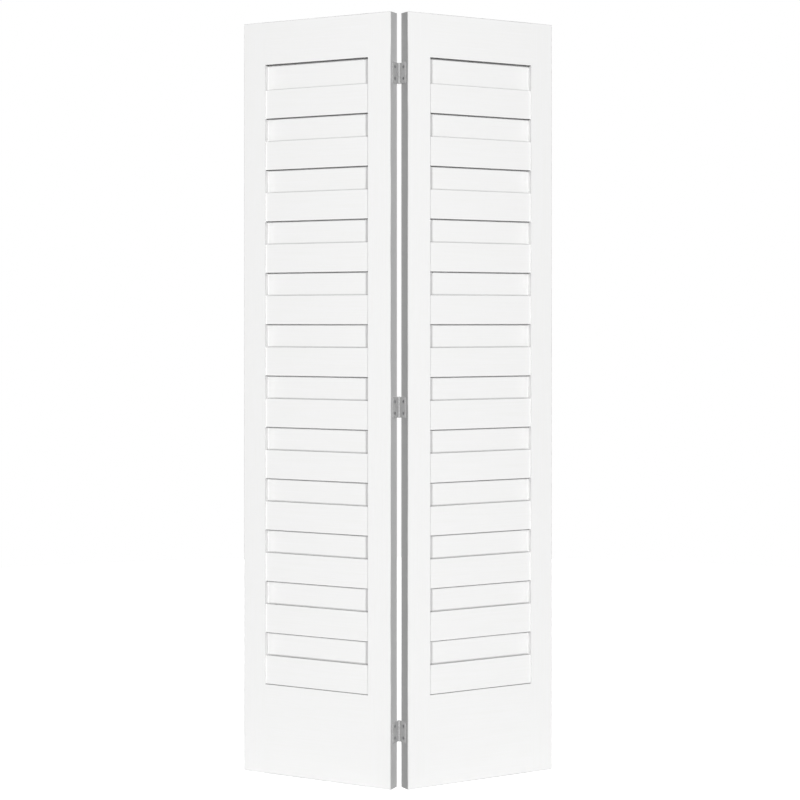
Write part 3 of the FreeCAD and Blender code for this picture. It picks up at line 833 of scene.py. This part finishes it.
def hangScrews(side, pattern):
    # All the screws of one leaf as one piece, each driven home at its own turn.
    nodeName = f"{side}_hinge_screws"
    solid = weldedCopy(nodeName, pinFrames[side].inverted())
    faceX = min((v.co.x for v in solid.verts), key=abs)
    solid.free()
    shape = bmesh.new()
    levels = []
    for place in ("top", "middle", "bottom"):
        low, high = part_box(f"{place}_hinge_{side}_plate")
        middle = (low.z + high.z) / 2
        levels += [middle + hinge["screwSpread"], middle - hinge["screwSpread"]]
    inward = math.pi / 2 if side == "left" else -math.pi / 2
    for number, level in enumerate(levels):
        turn = math.radians(screw["nextTurn"] * number + screw["firstTurn"])
        before = len(shape.verts)
        shape.from_mesh(pattern.data)
        shape.verts.ensure_lookup_table()
        driven = (Matrix.Translation((faceX, hinge["screwLine"], level))
                  @ Matrix.Rotation(inward, 4, "Y") @ Matrix.Rotation(turn, 4, "Z"))
        bmesh.ops.transform(shape, matrix=driven, verts=shape.verts[before:])
    mesh = bpy.data.meshes.new(f"{nodeName}_driven")
    shape.to_mesh(mesh)
    shape.free()
    shadeSmooth(mesh)
    mesh.materials.append(screwSteel)
    piece = addToScene(f"{nodeName}_driven", mesh)
    piece.matrix_world = pinFrames[side]
    hangOn(piece, side, nodeName)


for place in ("top", "middle", "bottom"):
    for side in ("left", "right"):
        makePlate(side, place)
    makePin(place)
pattern = makeScrew()
for side in ("left", "right"):
    hangScrews(side, pattern)
bpy.data.objects.remove(pattern)
print("hinges hung")


# Floor, light and camera

studio = {
    "floorColour": "#CACACA",
    "floorReach": 4.6,          # metres; its rim is lost against the white background
    "floorSteps": 96,
    "floorDrop": 0.5 * mm,      # below the door, so that no two faces meet
    "floorGlow": 0.93,          # lifts the lit floor to white, and for the eye only
    "ambient": 0.03,
}


def seenDirectly(tree):
    # 1 for what the camera sees, straight, mirrored or through glass; 0 for light that falls.
    path = addNode(tree, "ShaderNodeLightPath")
    straight = addNode(tree, "ShaderNodeMath", {"operation": "MAXIMUM"},
                       links={0: path.outputs["Is Camera Ray"], 1: path.outputs["Is Glossy Ray"]})
    seen = addNode(tree, "ShaderNodeMath", {"operation": "MAXIMUM"},
                   links={0: straight.outputs["Value"], 1: path.outputs["Is Transmission Ray"]})
    return seen.outputs["Value"]


def makeFloor():
    # Matt pale floor that shows white to the eye and keeps a soft shadow under the door.
    material, tree = newMaterial("matt_studio_floor")
    matt = addNode(tree, "ShaderNodeBsdfDiffuse", {}, {"Color": hexToLinear(studio["floorColour"])})
    glow = addNode(tree, "ShaderNodeEmission", {}, {"Strength": studio["floorGlow"]})
    lifted = addNode(tree, "ShaderNodeAddShader",
                     links={0: matt.outputs["BSDF"], 1: glow.outputs["Emission"]})
    mix = addNode(tree, "ShaderNodeMixShader",
                  links={0: seenDirectly(tree), 1: matt.outputs["BSDF"],
                         2: lifted.outputs["Shader"]})
    addNode(tree, "ShaderNodeOutputMaterial", links={"Surface": mix.outputs["Shader"]})
    rim = arc(studio["floorReach"], 0, 2 * math.pi, studio["floorSteps"])[:-1]
    floor = meshPiece("studio_floor", [(x, y, 0) for x, y in rim], [tuple(range(len(rim)))])
    floor.data.materials.append(material)
    floor.location.z = -studio["floorDrop"]


def makeWorld():
    world = bpy.data.worlds.new("white_studio")
    bpy.context.scene.world = world
    world.use_nodes = True
    tree = world.node_tree
    tree.nodes.clear()
    plainWhite = (1, 1, 1, 1)
    soft = addNode(tree, "ShaderNodeBackground", {},
                   {"Color": plainWhite, "Strength": studio["ambient"]})
    white = addNode(tree, "ShaderNodeBackground", {}, {"Color": plainWhite, "Strength": 1.0})
    mix = addNode(tree, "ShaderNodeMixShader",
                  links={0: seenDirectly(tree), 1: soft.outputs["Background"],
                         2: white.outputs["Background"]})
    addNode(tree, "ShaderNodeOutputWorld", links={"Surface": mix.outputs["Shader"]})


# Azimuth from the front towards the right and elevation in degrees, width and height in
# metres, power in watts. The pair in front stands close to the eye, for thin crisp shadows.
softboxes = {
    "highRightSoftbox": (18, 14, 1.4, 1.4, 1261),
    "highLeftSoftbox": (-18, 14, 1.4, 1.4, 1236),
    "lowRightSoftbox": (18, -2.5, 1.4, 0.5, 96),
    "lowLeftSoftbox": (-18, -2.5, 1.4, 0.5, 96),
    "rearRightSoftbox": (150, 25, 3.0, 3.6, 800),
    "rearLeftSoftbox": (-150, 25, 3.0, 3.6, 800),
}
lampAim = Vector((0, 0, 1.0))     # half way up the door
lampDistance = 16.0             # metres, so that the light is even from top to bottom


def hangSoftbox(name, azimuth, elevation, width, height, power):
    lamp = bpy.data.lights.new(name, "AREA")
    lamp.shape = "RECTANGLE"
    lamp.size = width
    lamp.size_y = height
    lamp.energy = power
    a, e = math.radians(azimuth), math.radians(elevation)
    outward = Vector((math.sin(a) * math.cos(e), -math.cos(a) * math.cos(e), math.sin(e)))
    box = addToScene(name, lamp)
    box.location = lampAim + outward * lampDistance
    box.rotation_mode = "QUATERNION"
    box.rotation_quaternion = (-outward).to_track_quat("-Z", "Y")
    box.visible_camera = False


view = {
    "sensor": 36,
    "lens": 83.61,
    "distance": 4.822,          # metres from the hinge pins
    "azimuth": -0.81,           # degrees, a touch to the left of the fold
    "height": 1.207,
    "shift": (0.0011, -0.098),
}


def placeCamera():
    data = bpy.data.cameras.new("studio_camera")
    data.sensor_width = view["sensor"]
    data.lens = view["lens"]
    data.shift_x, data.shift_y = view["shift"]
    camera = addToScene("studio_camera", data)
    turn = math.radians(view["azimuth"])
    camera.location = (pinAxis.x + view["distance"] * math.sin(turn),
                       pinAxis.y - view["distance"] * math.cos(turn), view["height"])
    camera.rotation_euler = (math.pi / 2, 0, turn)
    bpy.context.scene.camera = camera


makeFloor()
makeWorld()
for name, settings in softboxes.items():
    hangSoftbox(name, *settings)
placeCamera()
bpy.context.scene.view_settings.view_transform = "Standard"
print("studio set")
